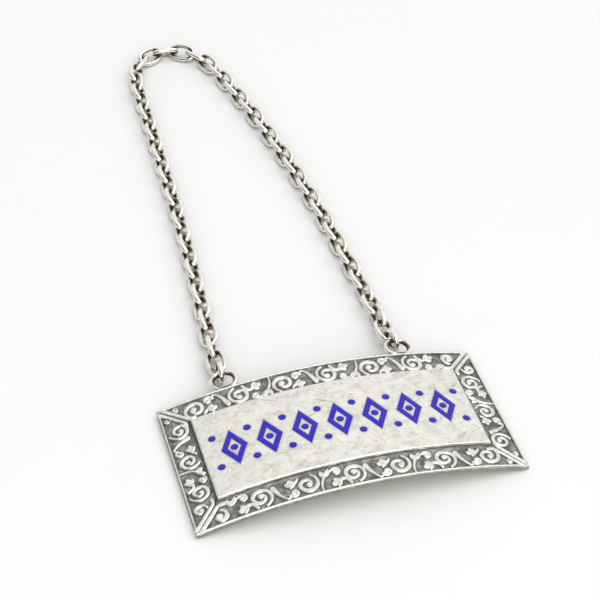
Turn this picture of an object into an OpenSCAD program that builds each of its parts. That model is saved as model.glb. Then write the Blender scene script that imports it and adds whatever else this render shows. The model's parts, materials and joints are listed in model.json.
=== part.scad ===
// Silver wine label: an arched plate with a scroll border and blue enamel on its panel,
// hung from two soldered loops on a cable chain that goes round a bottle's neck.
// It lies on its back, on the flat lands along its two side edges, with the chain laid out
// behind it. X runs along the plate's width, Y towards the chain and Z up, in millimetres.
// The origin is at the middle of the plate, on the surface that it lies on.

/* [Plate] */
// Width of the plate from side edge to side edge
plate_w = 53; // [44:0.5:70]
// Height of the plate from bottom edge to top edge
plate_h = 27.7; // [24:0.1:40]
// Rise of the arch at the middle of the back
arch = 3.7; // [2.5:0.1:6]
// Thickness of the sheet under the border
sheet = 0.6; // [0.5:0.05:1]
// Width of the flat land under each side edge
land = 0.4; // [0.2:0.1:1]
// Rise of the panel above the sheet
panel_rise = 1.1; // [0.8:0.05:1.6]

/* [Border] */
// Width of the border along the two side edges
side_band = 4.4; // [3.4:0.1:6]
// Width of the border along the top and bottom edges
long_band = 4.8; // [4.2:0.1:7]
// Thickness of the border's ground on the sheet
strip_ground = 0.3; // [0.28:0.02:0.5]
// Rise of the outer rim above the border's ground
rim_rise = 0.3; // [0.1:0.05:0.5]
// Width of the outer rim
rim_w = 0.45; // [0.3:0.05:0.8]
// Diameter of the rib on each side of a corner mitre
rib_d = 0.44; // [0.3:0.02:0.5]
// Distance from a corner mitre to the middle of its rib
rib_offset = 0.42; // [0.3:0.02:0.6]
// Number of scrolls along a long edge
long_scrolls = 6; // [4:1:8]
// Number of scrolls along a side edge
side_scrolls = 3; // [2:1:4]
// Radius of a main scroll, to the middle of its stem
scroll_r = 1.35; // [1:0.05:1.4]
// Radius of a small scroll, to the middle of its stem
curl_r = 0.65; // [0.5:0.05:0.8]
// Thickness of a scroll's stem
stem_d = 0.5; // [0.3:0.02:0.54]
// Diameter of the balls that end the scrolls, and of the pearls
pearl_d = 0.54; // [0.4:0.02:0.54]
// Bare ground between the small scrolls and the edges of the border
pattern_margin = 0.3; // [0.2:0.05:0.5]

/* [Enamel] */
// Number of enamel lozenges in the row
lozenges = 7; // [3:1:9]
// Width of a lozenge
lozenge_w = 4.2; // [3:0.1:4.6]
// Height of a lozenge
lozenge_h = 7.6; // [6:0.1:10]
// Width of the enamel band round a lozenge
lozenge_band = 0.9; // [0.5:0.05:1]
// Diameter of an enamel roundel
roundel_d = 1.2; // [0.8:0.05:1.3]
// Plain margin between the row and the panel's side edges
row_margin = 1.6; // [1:0.1:4]
// Depth of the cells that hold the enamel
cell_depth = 0.35; // [0.2:0.05:0.6]
// Height to which the enamel stands above the panel
enamel_proud = 0.04; // [0.02:0.01:0.1]

/* [Loops and rings] */
// Distance of each loop from the middle of the plate
loop_x = 14.8; // [12:0.2:18]
// Wire thickness of a loop
loop_wire = 0.9; // [0.7:0.05:1]
// Outer diameter of a loop
loop_d = 4.8; // [4.4:0.1:6]
// Wire thickness of a jump ring
ring_wire = 0.9; // [0.7:0.05:0.95]
// Clear length inside a jump ring
ring_inner = 3.6; // [3.2:0.1:5]
// Outer width of a jump ring
ring_w = 4; // [3.8:0.1:4.4]
// Turn of each jump ring towards the middle, in degrees
ring_turn = 6; // [0:1:8]
// Play between a loop and its jump ring
ring_gap = 0.15; // [0.1:0.01:0.3]
// Play between a jump ring and the chain's first link
tip_gap = 0.32; // [0.28:0.01:0.45]

/* [Chain] */
// Number of chain runs, each of three links
runs = 19; // [15:2:25]
// Wire thickness of a link
link_wire = 1; // [0.8:0.05:1.05]
// Outer width of a link
link_w = 3.8; // [3.7:0.1:4.2]
// Clear length inside a link
link_inner = 3.8; // [3.6:0.05:5]
// Play between two links that hook into each other
link_gap = 0.2; // [0.15:0.01:0.3]
// Lean of the links out of the flat, to one side and the other by turns, in degrees
link_lean = 45; // [40:1:50]
// Twist of the chain at each end, which lays the first link flatter, in degrees
end_twist = 30; // [0:1:35]
// Number of links over which that twist fades
twist_links = 6; // [2:1:12]
// Air under the chain
table_gap = 0.05; // [0.03:0.01:0.2]

/* [Hidden] */
$fn = 48;
silver = "#c9c8c2";
oxidised_silver = "#a3a49c";
blue_enamel = "#3d38be";

half_w = plate_w / 2;
half_h = plate_h / 2;
panel_half_w = half_w - side_band;
panel_half_h = half_h - long_band;

// The back is a cylinder along Y that reaches z = 0 at the inner edge of each land.
back_r = (pow(half_w - land, 2) + arch * arch) / (2 * arch);
axis_drop = back_r - arch;
// Heights over the back, measured square to it
ground_h = sheet + strip_ground;
rim_h = ground_h + rim_rise;
panel_h = sheet + panel_rise;
// Overshoot of cutting bodies past what they cut
over = 1;

// Height above the table of a point at x that lies h over the back
function top_z(x, h) = sqrt(pow(back_r + h, 2) - x * x) - axis_drop;
function on_back(x, y, h) = [x, y, top_z(x, h)];
function slope(x, h) = asin(x / (back_r + h));

// Border pattern: main scrolls at even steps, and small ones half a step further on
stem_r = stem_d / 2;
// The middle of the stems lies a little under the ground, and no stem goes down into the sheet.
stem_sink = 0.025;
stem_h = max(ground_h - stem_sink, sheet + max(stem_d, pearl_d) / 2);
long_length = 2 * panel_half_w;
side_length = 2 * panel_half_h;
long_mid = (panel_half_h + half_h - rim_w) / 2;
side_mid = (panel_half_w + half_w - rim_w) / 2;
main_start = -60;
curl_start = 100;
outer_sweep = 235;
inner_sweep = 200;
// The inner turn of a scroll has half the radius of the outer one, and a thinner stem.
inner_share = 0.52;
inner_thin = 0.8;

// Enamel row: the roundels stand in pairs beside and between the lozenges
row_step = (2 * panel_half_w - 2 * row_margin - roundel_d) / lozenges;
roundel_y = (lozenge_h - roundel_d) / 2;

// A loop is a ring that is cut off square where it is soldered to the plate's edge.
loop_r = (loop_d - loop_wire) / 2;
loop_h = rim_h / 2;
loop_z = top_z(loop_x, loop_h);
loop_y = half_h + loop_r;

// Links hang on hinge points that lie half their play between two wires.
pitch = link_inner - link_gap;
hook = (link_wire + link_gap) / 2;
links = 3 * runs;
link_rc = (link_w - link_wire) / 2;

function fade(i) = max(0, 1 - min(i, links - i) / twist_links);
function link_roll(i) = (i % 2 == 0 ? link_lean : -link_lean) + end_twist * fade(i - 0.5);
function hinge_z(i) = link_rc * sin(link_lean + end_twist * fade(i)) + link_wire / 2 + table_gap;

// The jump ring turns on the far side of its loop and reaches down to the first link.
swing_y = loop_y + loop_r;
ring_near = (loop_wire + ring_wire) / 2 + ring_gap;
ring_far = ring_inner + ring_wire - ring_near;
ring_bite = ring_far - (ring_wire + link_wire) / 2 - tip_gap;
ring_fall = asin((loop_z - hinge_z(0)) / ring_bite);
function ring_dir(side) = [-side * cos(ring_fall) * sin(ring_turn),
                           cos(ring_fall) * cos(ring_turn),
                           -sin(ring_fall)];
function swing_point(side) = [side * loop_x, swing_y, loop_z];
function ring_tip(side) = swing_point(side) + ring_far * ring_dir(side);

// The first link's wire bears on the inside of the ring's tip, in line with the ring.
chain_start = swing_point(1) + ring_bite * ring_dir(1) + [0, hook, 0];
start_x = chain_start[0];
start_y = chain_start[1];

// The chain's route on the table, as shares of its half width at the start and of its reach
route = [[-1, 0], [-0.97, 0.08], [-0.88, 0.23], [-0.8, 0.4], [-0.75, 0.56], [-0.7, 0.74],
         [-0.67, 0.86], [-0.63, 0.91], [-0.54, 0.945], [-0.37, 0.97], [-0.14, 0.98],
         [0.1, 0.97], [0.28, 0.945], [0.4, 0.91], [0.48, 0.87], [0.55, 0.82], [0.71, 0.69],
         [0.84, 0.54], [0.93, 0.38], [0.98, 0.22], [1, 0.1], [1, 0]];
route_steps = 12;
search_steps = 24;

// Route points in millimetres, with one more at each end that makes the chain leave along Y
function knots(reach) =
    let (p = [for (q = route) [q[0] * start_x, start_y + q[1] * reach]], n = len(p))
    concat([[p[1][0], 2 * p[0][1] - p[1][1]]], p,
           [[p[n - 2][0], 2 * p[n - 1][1] - p[n - 2][1]]]);

// Smooth curve between b and c that keeps the directions a to c and b to d
function curve(a, b, c, d, t) =
    b + t * ((c - a) + t * ((2 * a - 5 * b + 4 * c - d) + t * (3 * (b - c) + d - a))) / 2;

function path(reach) =
    let (k = knots(reach), last = len(k) - 3)
    concat([for (i = [1 : last], j = [0 : route_steps - 1])
               curve(k[i - 1], k[i], k[i + 1], k[i + 2], j / route_steps)],
           [k[last + 1]]);

// Distance along the path at each of its points
function mileage(p) =
    [for (i = 0, s = 0; i < len(p); i = i + 1, s = s + (i < len(p) ? norm(p[i] - p[i - 1]) : 0)) s];

function path_length(reach) = let (m = mileage(path(reach))) m[len(m) - 1];

// The reach at which the path is as long as the chain, found by halving
function chain_reach(low, high, n) =
    let (mid = (low + high) / 2)
    n == 0 ? mid
    : path_length(mid) < links * pitch ? chain_reach(mid, high, n - 1)
    : chain_reach(low, mid, n - 1);

reach = chain_reach(0, links * pitch, search_steps);
chain_path = path(reach);
chain_miles = mileage(chain_path);
path_x = [for (i = [0 : len(chain_path) - 1]) [chain_miles[i], chain_path[i][0]]];
path_y = [for (i = [0 : len(chain_path) - 1]) [chain_miles[i], chain_path[i][1]]];
hinges = [for (i = [0 : links]) [lookup(i * pitch, path_x), lookup(i * pitch, path_y), hinge_z(i)]];

function run_name(n) = str("chain_run_", n < 10 ? "0" : "", n);

// A cylinder along Y about the axis of the arch
module arch_cylinder(r) {
    translate([0, 0, -axis_drop]) rotate([90, 0, 0])
        cylinder(r = r, h = plate_h + 2 * over, center = true, $fn = 360);
}

// The space above the table over a plan
module above(height) {
    linear_extrude(height = height) children();
}

// The part of a plan's space that lies between two heights over the back
module layer(low, high) {
    difference() {
        intersection() {
            arch_cylinder(back_r + high);
            above(arch + high + over) children();
        }
        arch_cylinder(back_r + low);
    }
}

// Moves a piece to a point over the back and tips it with the arch
module seat(x, y, h) {
    translate(on_back(x, y, h)) rotate([0, slope(x, h), 0]) children();
}

// A straight rod between two points
module rod(from, to, d) {
    run = to - from;
    translate(from) rotate([0, acos(run[2] / norm(run)), atan2(run[1], run[0])])
        cylinder(d = d, h = norm(run));
}

// Part of a wire ring, from angle start over an angle sweep
module arc(r, d, start, sweep) {
    rotate([0, 0, start]) rotate_extrude(angle = sweep) translate([r, 0]) circle(d = d);
}

// An oval of wire, lying flat with its length along X
module oval(inner, width, wire) {
    rc = (width - wire) / 2;
    half = (inner + wire) / 2 - rc;
    for (side = [-1, 1]) {
        translate([side * half, 0, 0]) arc(rc, wire, -side * 90, 180);
        translate([-half, side * rc, 0]) rotate([0, 90, 0]) cylinder(d = wire, h = 2 * half);
    }
}

// Lays an oval between two points and leans it about the line that joins them
module lay(from, to, roll) {
    run = to - from;
    translate((from + to) / 2)
        rotate([roll, -asin(run[2] / norm(run)), atan2(run[1], run[0])]) children();
}

// A spiral scroll: a wide turn that runs into a tighter, thinner one, with a ball at each end
module scroll(r) {
    inner_r = r * inner_share;
    mid = (r - inner_r) * [cos(outer_sweep), sin(outer_sweep), 0];
    tip = outer_sweep + inner_sweep;
    arc(r, stem_d, 0, outer_sweep);
    translate(mid) {
        arc(inner_r, stem_d * inner_thin, outer_sweep, inner_sweep);
        translate(inner_r * [cos(tip), sin(tip), 0]) sphere(d = pearl_d);
    }
    translate([r, 0, 0]) sphere(d = pearl_d);
}

// A main scroll of the border, opening to one edge or the other
module main_scroll(flip) {
    mirror([0, flip ? 1 : 0, 0]) rotate([0, 0, main_start]) scroll(scroll_r);
}

// What fills the gap between two main scrolls in a given width: a small scroll and a pearl
module filler(room, flip) {
    edge = room / 2 - pattern_margin;
    mirror([0, flip ? 1 : 0, 0]) {
        translate([0, curl_r + stem_r - edge, 0]) rotate([0, 0, curl_start]) scroll(curl_r);
        translate([0, edge - pearl_d / 2, 0]) sphere(d = pearl_d);
    }
}

module label_plate() {
    color(silver)
        difference() {
            union() {
                intersection() {
                    arch_cylinder(back_r + sheet);
                    above(arch + panel_h + over) square([plate_w, plate_h], center = true);
                }
                intersection() {
                    arch_cylinder(back_r + panel_h);
                    above(arch + panel_h + over) panel_plan();
                }
            }
            arch_cylinder(back_r);
            layer(panel_h - cell_depth, panel_h + over) lozenge_plan();
            layer(panel_h - cell_depth, panel_h + over) roundel_plan();
        }
}

module panel_plan() {
    square([2 * panel_half_w, 2 * panel_half_h], center = true);
}

module lozenge(a, b) {
    polygon([[a, 0], [0, b], [-a, 0], [0, -b]]);
}

// The row of lozenge bands
module lozenge_plan() {
    a = lozenge_w / 2;
    b = lozenge_h / 2;
    inside = 1 - lozenge_band * norm([a, b]) / (a * b);
    for (i = [0 : lozenges - 1])
        translate([(i - (lozenges - 1) / 2) * row_step, 0])
            difference() {
                lozenge(a, b);
                lozenge(a * inside, b * inside);
            }
}

// A roundel in the middle of each lozenge, and pairs of them beside and between the lozenges
module roundel_plan() {
    for (i = [0 : lozenges - 1])
        translate([(i - (lozenges - 1) / 2) * row_step, 0]) circle(d = roundel_d);
    for (i = [0 : lozenges], side = [-1, 1])
        translate([(i - lozenges / 2) * row_step, side * roundel_y]) circle(d = roundel_d);
}

module enamel_lozenges() {
    color(blue_enamel) layer(panel_h - cell_depth, panel_h + enamel_proud) lozenge_plan();
}

module enamel_roundels() {
    color(blue_enamel) layer(panel_h - cell_depth, panel_h + enamel_proud) roundel_plan();
}

// Corners of the mitre, from the panel to the plate's edge
inner_corner = [panel_half_w, panel_half_h];
outer_corner = [half_w, half_h];
mitre = (outer_corner - inner_corner) / norm(outer_corner - inner_corner);
// How far the ribs stop short of the corners
rib_start = 0.5;
rib_end = 1.7;

// A rib along the mitre, set off to one side of it
module mitre_rib(side) {
    shift = side * rib_offset * [-mitre[1], mitre[0]];
    from = inner_corner + rib_start * mitre + shift;
    to = outer_corner - rib_end * mitre + shift;
    rod(on_back(from[0], from[1], stem_h), on_back(to[0], to[1], stem_h), rib_d);
}

// The border strip along the top edge: a mitred bar with its field sunk inside the rim
module long_strip() {
    step = long_length / long_scrolls;
    room = long_band - rim_w;
    difference() {
        layer(sheet, rim_h)
            polygon([outer_corner, inner_corner,
                     [-inner_corner[0], inner_corner[1]], [-outer_corner[0], outer_corner[1]]]);
        layer(ground_h, rim_h + over)
            translate([-half_w - over, panel_half_h - over])
                square([plate_w + 2 * over, long_band - rim_w + over]);
    }
    for (i = [0 : long_scrolls - 1])
        seat((i - (long_scrolls - 1) / 2) * step, long_mid, stem_h) main_scroll(i % 2 == 1);
    for (i = [1 : long_scrolls - 1])
        seat((i - long_scrolls / 2) * step, long_mid, stem_h) filler(room, i % 2 == 1);
    mitre_rib(1);
    mirror([1, 0, 0]) mitre_rib(1);
}

// The border strip along the right side edge
module side_strip() {
    step = side_length / side_scrolls;
    room = side_band - rim_w;
    difference() {
        layer(sheet, rim_h)
            polygon([outer_corner, [outer_corner[0], -outer_corner[1]],
                     [inner_corner[0], -inner_corner[1]], inner_corner]);
        layer(ground_h, rim_h + over)
            translate([panel_half_w - over, -half_h - over])
                square([side_band - rim_w + over, plate_h + 2 * over]);
    }
    for (i = [0 : side_scrolls - 1])
        seat(side_mid, (i - (side_scrolls - 1) / 2) * step, stem_h)
            rotate([0, 0, 90]) main_scroll(i % 2 == 1);
    for (i = [1 : side_scrolls - 1])
        seat(side_mid, (i - side_scrolls / 2) * step, stem_h)
            rotate([0, 0, 90]) filler(room, i % 2 == 1);
    mitre_rib(-1);
    mirror([0, 1, 0]) mitre_rib(-1);
}

module border_top() {
    color(oxidised_silver) long_strip();
}

module border_bottom() {
    color(oxidised_silver) mirror([0, 1, 0]) long_strip();
}

module border_right() {
    color(oxidised_silver) side_strip();
}

module border_left() {
    color(oxidised_silver) mirror([1, 0, 0]) side_strip();
}

// A loop, tipped with the arch and cut off at the plate's edge
module loop(side) {
    color(silver)
        difference() {
            translate([side * loop_x, loop_y, loop_z])
                rotate([0, slope(side * loop_x, loop_h), 0])
                    rotate_extrude() translate([loop_r, 0]) circle(d = loop_wire);
            translate([side * loop_x - loop_d, half_h - loop_d, loop_z - loop_d])
                cube([2 * loop_d, loop_d, 2 * loop_d]);
        }
}

module loop_left() {
    loop(-1);
}

module loop_right() {
    loop(1);
}

// A jump ring, standing on edge
module ring(side) {
    color(silver)
        lay(swing_point(side) - ring_near * ring_dir(side), ring_tip(side), 90)
            oval(ring_inner, ring_w, ring_wire);
}

module ring_left() {
    ring(-1);
}

module ring_right() {
    ring(1);
}

// Three links of the chain, each hooked into the next
module chain_run(n) {
    color(silver)
        for (i = [3 * n - 2 : 3 * n])
            lay(hinges[i - 1], hinges[i], link_roll(i)) oval(link_inner, link_w, link_wire);
}

label_plate();
border_top();
border_bottom();
border_left();
border_right();
enamel_lozenges();
enamel_roundels();
loop_left();
loop_right();
ring_left();
ring_right();
for (n = [1 : runs])
    chain_run(n);
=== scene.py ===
"""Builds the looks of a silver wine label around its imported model.

The label is an arched silver plate with a scroll border in relief, blue enamel on its panel, two
loops, two jump rings and a cable chain. All lengths are in metres, in the model's own frame: X runs
along the plate's width, Y towards the chain and Z up.

A skin here is a closed surface: its points, its faces and its marks, which are named values for each
point that the materials read.
"""

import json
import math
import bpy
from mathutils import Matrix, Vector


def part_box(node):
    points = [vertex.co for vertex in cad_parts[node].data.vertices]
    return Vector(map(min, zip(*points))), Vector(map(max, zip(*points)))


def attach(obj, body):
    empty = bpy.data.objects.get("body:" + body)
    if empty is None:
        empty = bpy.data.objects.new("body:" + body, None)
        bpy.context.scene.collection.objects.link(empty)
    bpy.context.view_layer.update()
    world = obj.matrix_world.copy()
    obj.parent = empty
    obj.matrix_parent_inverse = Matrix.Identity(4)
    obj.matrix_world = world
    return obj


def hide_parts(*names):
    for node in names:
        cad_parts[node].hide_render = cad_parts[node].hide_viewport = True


bl_info = {
    "name": "Silver Wine Label",
    "version": (1, 0, 0),
    "blender": (4, 5, 0),
    "location": "View3D > Sidebar > Wine Label",
    "description": "Builds a silver wine label with a scroll border, enamel and a chain",
    "category": "Object",
}

import bpy
import numpy as np
from bpy.props import FloatProperty, FloatVectorProperty, IntProperty, PointerProperty
from mathutils import Vector

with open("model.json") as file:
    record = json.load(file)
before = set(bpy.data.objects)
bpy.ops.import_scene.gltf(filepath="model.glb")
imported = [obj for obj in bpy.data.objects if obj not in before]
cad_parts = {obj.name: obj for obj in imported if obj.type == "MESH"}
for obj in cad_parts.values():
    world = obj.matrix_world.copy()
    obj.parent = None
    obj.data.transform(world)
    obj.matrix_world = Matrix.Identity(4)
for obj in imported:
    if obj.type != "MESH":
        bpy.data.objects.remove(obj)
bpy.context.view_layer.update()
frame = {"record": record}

MM = 0.001
PLATE_LOW, PLATE_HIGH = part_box("label_plate")
LABEL_BODY = next(b for b, nodes in frame["record"]["behaviour"]["bodies"].items()
                  if "label_plate" in nodes)


def number(name, description, default):
    """A plain number."""
    return FloatProperty(name=name, description=description, default=default)


def whole(name, description, default):
    """A whole number."""
    return IntProperty(name=name, description=description, default=default)


def share(name, description, default):
    """A number from 0 to 1."""
    return FloatProperty(name=name, description=description, default=default, min=0.0, max=1.0)


def length(name, description, default, low=0.0):
    """A length, in metres."""
    return FloatProperty(name=name, description=description, default=default, min=low,
                         unit="LENGTH", precision=5)


def angle(name, description, degrees):
    """An angle, given in degrees."""
    return FloatProperty(name=name, description=description, default=math.radians(degrees),
                         subtype="ANGLE")


def spot(name, description, default):
    """A place in the scene, in metres."""
    return FloatVectorProperty(name=name, description=description, default=default, size=3,
                               subtype="TRANSLATION")


def colour(name, description, default):
    """A colour, in scene-linear red, green and blue."""
    return FloatVectorProperty(name=name, description=description, default=default, size=3,
                               min=0.0, max=1.0, subtype="COLOR")


class PlateSizes(bpy.types.PropertyGroup):
    """Sizes of the arched plate and its panel."""

    width: length("Width", "From side edge to side edge", PLATE_HIGH[0] - PLATE_LOW[0])
    height: length("Height", "From bottom edge to top edge", PLATE_HIGH[1] - PLATE_LOW[1])
    arch: length("Arch", "Rise of the back at its middle", 3.7 * MM)
    sheet: length("Sheet", "Thickness under the border", 0.6 * MM)
    land: length("Land", "Flat strip under each side edge", 0.4 * MM)
    panel_rise: length("Panel rise", "Rise of the panel above the sheet", 1.1 * MM)
    flank: length("Flank", "Width of the panel's sloping side", 0.14 * MM)
    edge_round: length("Edge round", "Radius of the panel's worn edge", 0.24 * MM)
    bevel: length("Bevel", "Width of the filed slope under the outer edges", 0.24 * MM)
    cell: length("Cell", "Spacing of the panel's grid", 0.16 * MM)


class BorderSizes(bpy.types.PropertyGroup):
    """Sizes of the scroll border."""

    side_band: length("Side band", "Width along the side edges", 4.4 * MM)
    long_band: length("Long band", "Width along the top and bottom edges", 4.8 * MM)
    ground: length("Ground", "Thickness of the ground on the sheet", 0.3 * MM)
    rim_rise: length("Rim rise", "Rise of the outer rim above the ground", 0.3 * MM)
    rim_width: length("Rim width", "Width of the outer rim", 0.38 * MM)
    # Beside rubbing, this paints the top and side rims dimmer than the bottom one, as painted light.
    rim_rub_and_light: share("Rim rub", "Brightness of the top and side rims beside the bottom one", 0.5)
    relief: length("Relief", "Rise of the scrolls above the ground", 0.3 * MM)
    fillet: length("Fillet", "Width of the solder at the panel's foot", 0.4 * MM)
    long_step: length("Long step", "Distance from scroll to scroll on a long edge", 7.3 * MM)
    side_step: length("Side step", "Distance from scroll to scroll on a side edge", 6.95 * MM)
    long_shift: length("Long shift", "Shift of the scrolls along a long edge", 2.4 * MM)
    side_shift: length("Side shift", "Shift of the scrolls along a side edge", -1.0 * MM, -0.01)
    long_scrolls: whole("Long scrolls", "Main scrolls on a long edge", 6)
    side_scrolls: whole("Side scrolls", "Main scrolls on a side edge", 3)
    cell: length("Cell", "Spacing of the relief's grid", 0.07 * MM)


class EnamelSizes(bpy.types.PropertyGroup):
    """Sizes of the enamel row on the panel."""

    count: whole("Lozenges", "Number of lozenges in the row", 7)
    width: length("Width", "Width of a lozenge", 4.2 * MM)
    height: length("Height", "Height of a lozenge", 7.6 * MM)
    band: length("Band", "Width of the enamel band", 0.9 * MM)
    roundel: length("Roundel", "Diameter of a roundel", 1.2 * MM)
    margin: length("Margin", "Plain panel beside the row", 1.6 * MM)
    depth: length("Depth", "Depth of the enamel below the panel", 0.35 * MM)
    proud: length("Proud", "Height of the enamel's edge above the panel", 0.02 * MM)
    dome: length("Dome", "Further rise at the middle of the enamel", 0.05 * MM)


class ChainSizes(bpy.types.PropertyGroup):
    """Sizes of the loops, jump rings and chain."""

    loop_x: length("Loop place", "Distance of each loop from the middle", 14.8 * MM)
    loop_wire: length("Loop wire", "Wire thickness of a loop", 0.9 * MM)
    loop_width: length("Loop width", "Outer diameter of a loop", 4.8 * MM)
    ring_wire: length("Ring wire", "Wire thickness of a jump ring", 0.9 * MM)
    ring_inner: length("Ring length", "Clear length inside a jump ring", 3.6 * MM)
    ring_width: length("Ring width", "Outer width of a jump ring", 4.0 * MM)
    ring_turn: angle("Ring turn", "Turn of the rings towards the middle", 6)
    ring_gap: length("Ring gap", "Play between loop and ring", 0.15 * MM)
    tip_gap: length("Tip gap", "Play between ring and first link", 0.32 * MM)
    runs: whole("Runs", "Number of chain runs of three links", 19)
    wire: length("Link wire", "Wire thickness of a link", 1.0 * MM)
    width: length("Link width", "Outer width of a link", 3.8 * MM)
    inner: length("Link length", "Clear length inside a link", 3.8 * MM)
    gap: length("Link gap", "Play between two links", 0.2 * MM)
    lift: length("Lift", "Air under the chain", 0.05 * MM)
    lean: angle("Lean", "Lean of the links out of the flat", 45)
    end_twist: angle("End twist", "Twist of the chain at each end", 30)
    twist_links: whole("Twist links", "Links over which the twist fades", 6)


class Finishes(bpy.types.PropertyGroup):
    """Colours of the silver, its tarnish, the enamel and the table."""

    silver: colour("Silver", "Satin silver of the panel", (0.87, 0.86, 0.8))
    bright: colour("Bright silver", "Rubbed silver of the relief", (0.9, 0.89, 0.83))
    wire: colour("Wire silver", "Rubbed silver of the wire", (0.95, 0.93, 0.865))
    worn: colour("Worn silver", "Duller silver between the bright patches", (0.5, 0.48, 0.42))
    stain: colour("Stain", "Grey stains on the panel", (0.3, 0.295, 0.27))
    tarnish: colour("Tarnish", "Brown tarnish in recesses", (0.115, 0.054, 0.011))
    tarnish_green: colour("Green tarnish", "Olive tarnish in recesses", (0.09, 0.108, 0.011))
    back: colour("Back", "Olive film on the unpolished back", (0.3, 0.29, 0.13))
    oxide: colour("Oxide", "Dark ground of the border", (0.15, 0.155, 0.145))
    oxide_pale: colour("Pale oxide", "Rubbed patches of the border's ground", (0.4, 0.395, 0.36))
    oxide_tint: colour("Oxide tint", "Bluish patches of the border's ground", (0.1, 0.14, 0.16))
    enamel: colour("Enamel", "Blue enamel", (0.034, 0.024, 0.5))
    enamel_deep: colour("Enamel edge", "Darker enamel at its edges", (0.018, 0.012, 0.28))
    table: colour("Table", "The white table", (0.93, 0.93, 0.925))


class StageSettings(bpy.types.PropertyGroup):
    """Camera, light and table."""

    lens: number("Lens", "Focal length in millimetres", 108.0)
    azimuth: angle("Azimuth", "Camera direction round the label", -15.94)
    elevation: angle("Elevation", "Camera height over the table", 39.88)
    distance: length("Distance", "From the target to the camera", 311.54 * MM)
    target: spot("Target", "Point that the camera looks at", (3.69 * MM, 35.72 * MM, 0.0))
    key_place: spot("Key place", "Place of the soft key lamp", (0.65, -0.42, 1.46))
    key_size: length("Key size", "Side of the key lamp", 2.04)
    key_power: number("Key power", "Power of the key lamp in watts", 13.8)
    front_place: spot("Front place", "Place of the low front lamp", (-0.24, -1.52, 0.88))
    front_size: length("Front size", "Side of the front lamp", 1.44)
    front_power: number("Front power", "Power of the front lamp in watts", 13.4)
    fill: share("Fill", "Strength of the light from all round", 0.585)
    table_size: length("Table size", "Side of the table top", 4.0)


class WineLabelSettings(bpy.types.PropertyGroup):
    """All settings of the label."""

    plate: PointerProperty(type=PlateSizes)
    border: PointerProperty(type=BorderSizes)
    enamel: PointerProperty(type=EnamelSizes)
    chain: PointerProperty(type=ChainSizes)
    finish: PointerProperty(type=Finishes)
    stage: PointerProperty(type=StageSettings)


def settings():
    """The label's settings on the current scene."""
    return bpy.context.scene.wine_label


# Meshes


def grid_faces(nu, nv, wrap_u=False, wrap_v=False):
    """Quads of an nu by nv grid whose vertex (i, j) has the index i * nv + j."""
    i = np.arange(nu if wrap_u else nu - 1)
    j = np.arange(nv if wrap_v else nv - 1)
    a, b = np.meshgrid(i, j, indexing="ij")
    a2, b2 = (a + 1) % nu, (b + 1) % nv
    quads = np.stack([a * nv + b, a2 * nv + b, a2 * nv + b2, a * nv + b2], axis=-1)
    return quads.reshape(-1, 4)


def joined(skins):
    """Several skins with the same kinds of marks as one skin."""
    points, faces, marks, base = [], [], {}, 0
    for part, quads, values in skins:
        points.append(part)
        faces += [[int(v) + base for v in f] for f in quads]
        for key, value in values.items():
            marks.setdefault(key, []).append(np.ravel(value))
        base += len(part)
    return np.concatenate(points), faces, {key: np.concatenate(v) for key, v in marks.items()}


def make_piece(name, skin, material, body, node, sharp=40.0):
    """A mesh object from a skin, which rides on a body and stands for a CAD node.

    Edges that bend by more than sharp degrees stay crisp.
    """
    points, faces, marks = skin
    mesh = bpy.data.meshes.new(name)
    mesh.from_pydata(np.asarray(points, float).tolist(), [], [list(map(int, f)) for f in faces])
    for key, values in marks.items():
        layer = mesh.attributes.new(key, "FLOAT", "POINT")
        layer.data.foreach_set("value", np.ascontiguousarray(values, dtype=np.float32).ravel())
    mesh.polygons.foreach_set("use_smooth", np.ones(len(mesh.polygons), dtype=bool))
    mesh.set_sharp_from_angle(angle=math.radians(sharp))
    mesh.materials.append(material)
    mesh.update()
    if mesh.validate():
        raise RuntimeError(name + " has a broken mesh")
    piece = bpy.data.objects.new(name, mesh)
    bpy.context.scene.collection.objects.link(piece)
    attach(piece, body)
    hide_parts(node)


def smooth(low, high, value):
    """0 at low, 1 at high, and an even S-curve between."""
    t = np.clip((value - low) / (high - low), 0, 1)
    return t * t * (3 - 2 * t)


# The arch


def arch_axis(plate):
    """Radius of the back's cylinder, and the depth of its axis below the table."""
    half = plate.width / 2 - plate.land
    radius = (half * half + plate.arch * plate.arch) / (2 * plate.arch)
    return radius, radius - plate.arch


def on_arch(x, y, h, plate):
    """Points at x and y in plan that lie h over the back, measured square to it."""
    radius, drop = arch_axis(plate)
    x, y, h = np.broadcast_arrays(x, y, h)
    return np.stack([x, y, np.sqrt((radius + h) ** 2 - x * x) - drop], axis=-1)


def panel_half(s):
    """Half width and half height of the panel."""
    return s.plate.width / 2 - s.border.side_band, s.plate.height / 2 - s.border.long_band


# The plate

# Steps round the panel's worn edge, and the width of the dark line beside the enamel.
WORN_STEPS = 7
ENAMEL_LINE = 0.35 * MM


def edge_lines(half, inner, plate):
    """Grid lines across the plate: the rim, the panel's flank and worn edge, then even steps."""
    turn = np.linspace(0, 1, WORN_STEPS) * math.pi / 2
    worn = plate.flank + plate.edge_round * (1 - np.cos(turn))
    first = inner - np.concatenate([[0.0], worn])
    flat = np.linspace(-first[-1], first[-1], 2 * int(first[-1] / plate.cell) + 1)[1:-1]
    right = np.concatenate([first[::-1], [inner + (half - inner) / 2, half - plate.land, half]])
    return np.concatenate([-right[::-1], flat, right])


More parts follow.
